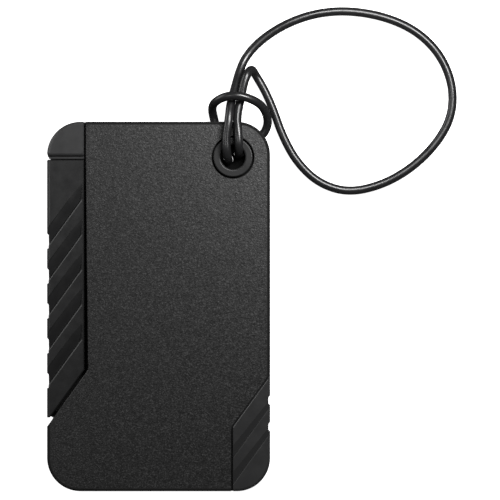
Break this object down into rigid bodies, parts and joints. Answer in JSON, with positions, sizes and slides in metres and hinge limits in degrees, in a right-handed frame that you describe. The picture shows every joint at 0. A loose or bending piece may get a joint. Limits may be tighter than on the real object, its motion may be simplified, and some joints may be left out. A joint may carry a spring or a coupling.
{
  "type": "luggage tag",
  "caption": "Flat plastic luggage tag with a card tray that slides out sideways by a ribbed grip, and a closed cord loop hitched through a corner eyelet.",
  "frame": {"origin": "middle of the case's back face, on the surface that the tag lies on; the cord is left out", "axes": "+X to the right, +Y up the tag to the eyelet end, +Z out of the front face"},
  "size_m": [0.1236, 0.146, 0.0119],
  "materials": {
    "case_grained": "fine spark grain",
    "trim_smooth": "smooth satin",
    "grip_soft": "smooth satin rubber",
    "eyelet": "satin gloss",
    "tray": "satin",
    "card": "uncoated card",
    "window": "clear",
    "cord": "glossy vinyl"
  },
  "bodies": {
    "case": {"front_cover": "case_grained", "back_shell": "case_grained", "corner_cap": "trim_smooth", "corner_bumper": "trim_smooth", "eyelet_front": "eyelet", "eyelet_back": "eyelet", "loop_cord": "cord"},
    "tray": {"card_tray": "tray", "address_card": "card", "card_window": "window", "thumb_grip": "grip_soft"}
  },
  "joints": [
    {"name": "tray_slide", "type": "slide", "parent": "case", "child": "tray", "axis": [-1, 0, 0], "range_m": [0, 0.033]}
  ]
}
